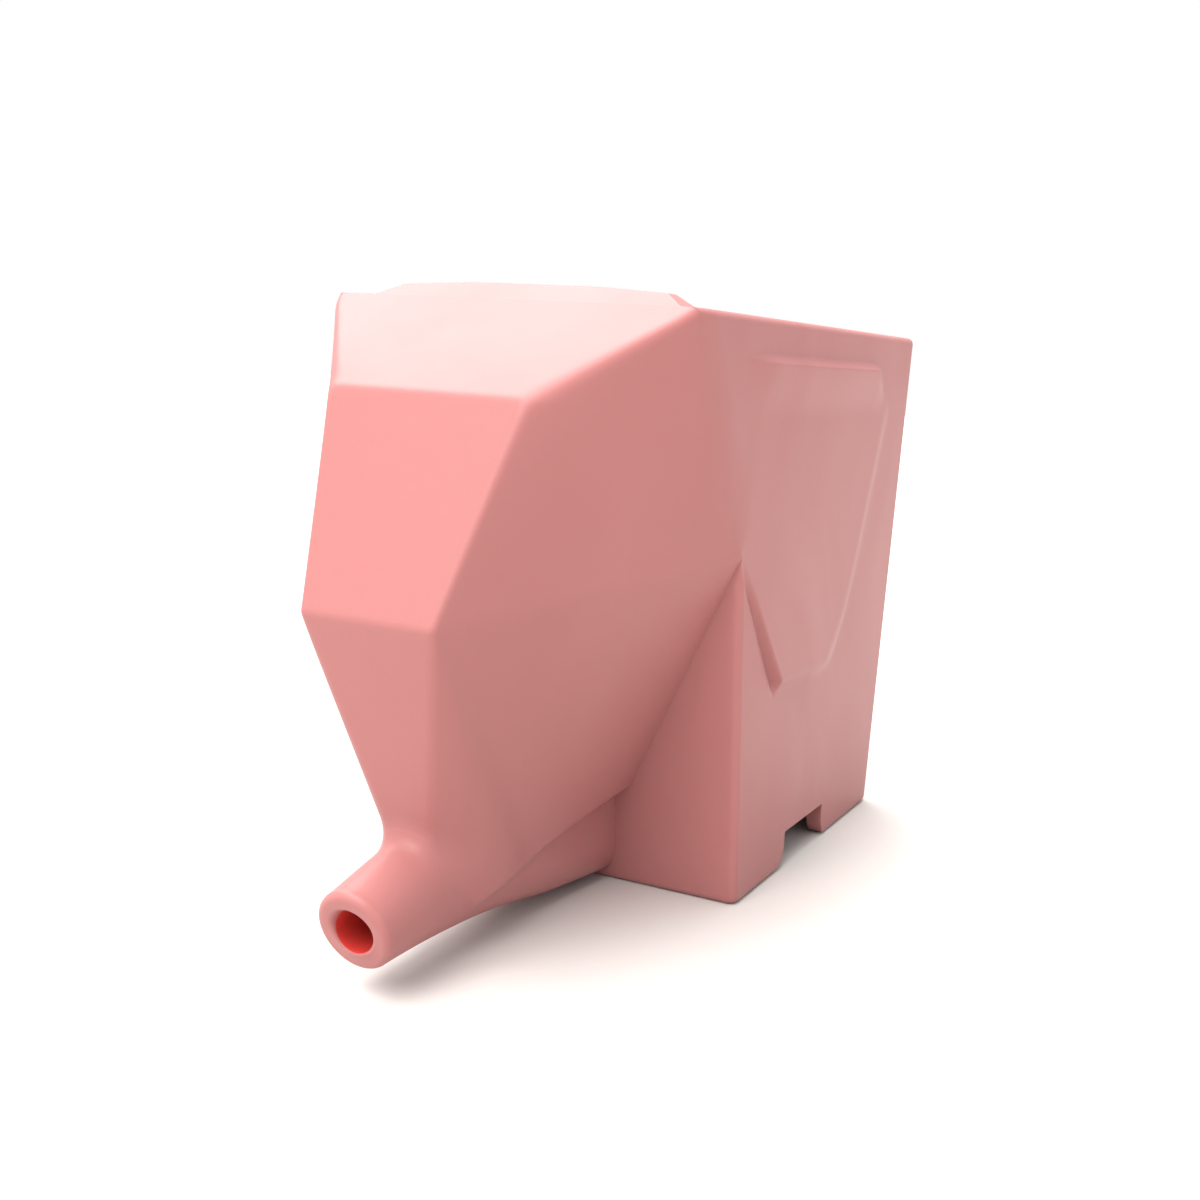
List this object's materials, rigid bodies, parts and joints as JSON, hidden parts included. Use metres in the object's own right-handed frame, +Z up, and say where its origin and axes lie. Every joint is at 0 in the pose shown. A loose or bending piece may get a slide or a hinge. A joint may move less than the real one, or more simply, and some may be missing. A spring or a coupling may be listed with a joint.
{
  "type": "cutlery drainer",
  "caption": "Elephant-shaped pot for draining cutlery, with a lift-out slotted cup and a hollow trunk that runs the water off into a sink.",
  "frame": {"origin": "bottom centre of the whole object's box, on the worktop", "axes": "+X towards the tip of the trunk, +Y towards the elephant's left, +Z up"},
  "size_m": [0.1886, 0.0902, 0.1336],
  "materials": {
    "pink_shell": "satin moulded polypropylene",
    "pink_insert": "satin moulded polypropylene, a shade lighter",
    "pale_insert": "satin moulded polypropylene"
  },
  "bodies": {
    "base": {"body_shell": "pink_shell", "head_shell": "pink_shell", "drain_pan": "pale_insert"},
    "cup": {"strainer_cup": "pink_insert"},
    "divider": {"cup_divider": "pink_insert"}
  },
  "joints": [
    {"name": "cup_lift", "type": "slide", "parent": "base", "child": "cup", "axis": [0, 0, 1], "range_m": [0, 0.12]},
    {"name": "divider_lift", "type": "slide", "parent": "cup", "child": "divider", "axis": [0, 0, 1], "range_m": [0, 0.095]}
  ]
}
